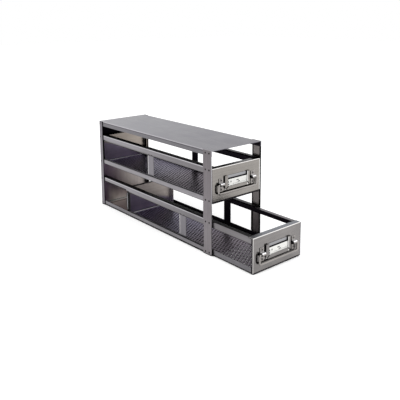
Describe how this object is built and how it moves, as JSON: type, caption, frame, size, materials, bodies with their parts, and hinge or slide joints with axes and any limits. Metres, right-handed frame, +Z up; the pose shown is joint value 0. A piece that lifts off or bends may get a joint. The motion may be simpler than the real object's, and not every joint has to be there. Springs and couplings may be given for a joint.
{
  "type": "freezer drawer rack",
  "caption": "Open sheet-metal freezer rack holding stacked sliding drawers with windowed sides, perforated floors, card holders and swinging bail handles.",
  "frame": {"origin": "middle of the rack's underside, on the plane that it stands on", "axes": "+Z up, +Y from the drawers' fronts to the rear panel, +X to the right of someone who faces the fronts"},
  "size_m": [0.141, 0.5488, 0.216],
  "materials": {
    "cover_sheet": "fine brushed grain along the length, satin",
    "panel_sheet": "brushed, satin, slightly warm",
    "post_sheet": "brushed along the height",
    "shelf_sheet": "brushed along the length",
    "rail_sheet": "brushed along the length",
    "front_sheet": "brushed along the width, satin",
    "side_sheet": "brushed along the length",
    "perforated_sheet": "dull, with punched holes",
    "holder_sheet": "satin with bright edges",
    "bright_steel": "bright drawn wire and pressed straps",
    "rivet": "dark dull heads",
    "card": "plain white card, matt"
  },
  "bodies": {
    "rack": {"top_cover": "cover_sheet", "rear_panel": "panel_sheet", "left_post": "post_sheet", "right_post": "post_sheet", "left_post_rivets": "rivet", "right_post_rivets": "rivet", "left_rear_rivets": "rivet", "right_rear_rivets": "rivet", "lower_shelf": "shelf_sheet", "lower_left_rail": "rail_sheet", "lower_right_rail": "rail_sheet", "upper_shelf": "shelf_sheet", "upper_left_rail": "rail_sheet", "upper_right_rail": "rail_sheet"},
    "lower_drawer": {"lower_front_panel": "front_sheet", "lower_left_side": "side_sheet", "lower_right_side": "side_sheet", "lower_rear_wall": "panel_sheet", "lower_floor": "perforated_sheet", "lower_left_divider": "side_sheet", "lower_right_divider": "side_sheet", "lower_divider_rivets": "rivet", "lower_card_holder": "holder_sheet", "lower_left_strap": "bright_steel", "lower_right_strap": "bright_steel", "lower_strap_rivets": "bright_steel"},
    "lower_bail": {"lower_bail": "bright_steel"},
    "lower_card": {"lower_label_card": "card"},
    "upper_drawer": {"upper_front_panel": "front_sheet", "upper_left_side": "side_sheet", "upper_right_side": "side_sheet", "upper_rear_wall": "panel_sheet", "upper_floor": "perforated_sheet", "upper_left_divider": "side_sheet", "upper_right_divider": "side_sheet", "upper_divider_rivets": "rivet", "upper_card_holder": "holder_sheet", "upper_left_strap": "bright_steel", "upper_right_strap": "bright_steel", "upper_strap_rivets": "bright_steel"},
    "upper_bail": {"upper_bail": "bright_steel"},
    "upper_card": {"upper_label_card": "card"}
  },
  "joints": [
    {"name": "lower_drawer_slide", "type": "slide", "parent": "rack", "child": "lower_drawer", "axis": [0, -1, 0], "range_m": [-0.114, 0.2853]},
    {"name": "lower_bail_hinge", "type": "hinge", "parent": "lower_drawer", "child": "lower_bail", "pos_m": [0, -0.3312, 0.0361], "axis": [-1, 0, 0], "range_deg": [-5, 180]},
    {"name": "lower_card_slide", "type": "slide", "parent": "lower_drawer", "child": "lower_card", "axis": [0, 0, 1], "range_m": [0, 0.028]},
    {"name": "upper_drawer_slide", "type": "slide", "parent": "rack", "child": "upper_drawer", "axis": [0, -1, 0], "range_m": [0, 0.3993]},
    {"name": "upper_bail_hinge", "type": "hinge", "parent": "upper_drawer", "child": "upper_bail", "pos_m": [0, -0.2172, 0.1441], "axis": [-1, 0, 0], "range_deg": [-5, 180]},
    {"name": "upper_card_slide", "type": "slide", "parent": "upper_drawer", "child": "upper_card", "axis": [0, 0, 1], "range_m": [0, 0.028]}
  ]
}
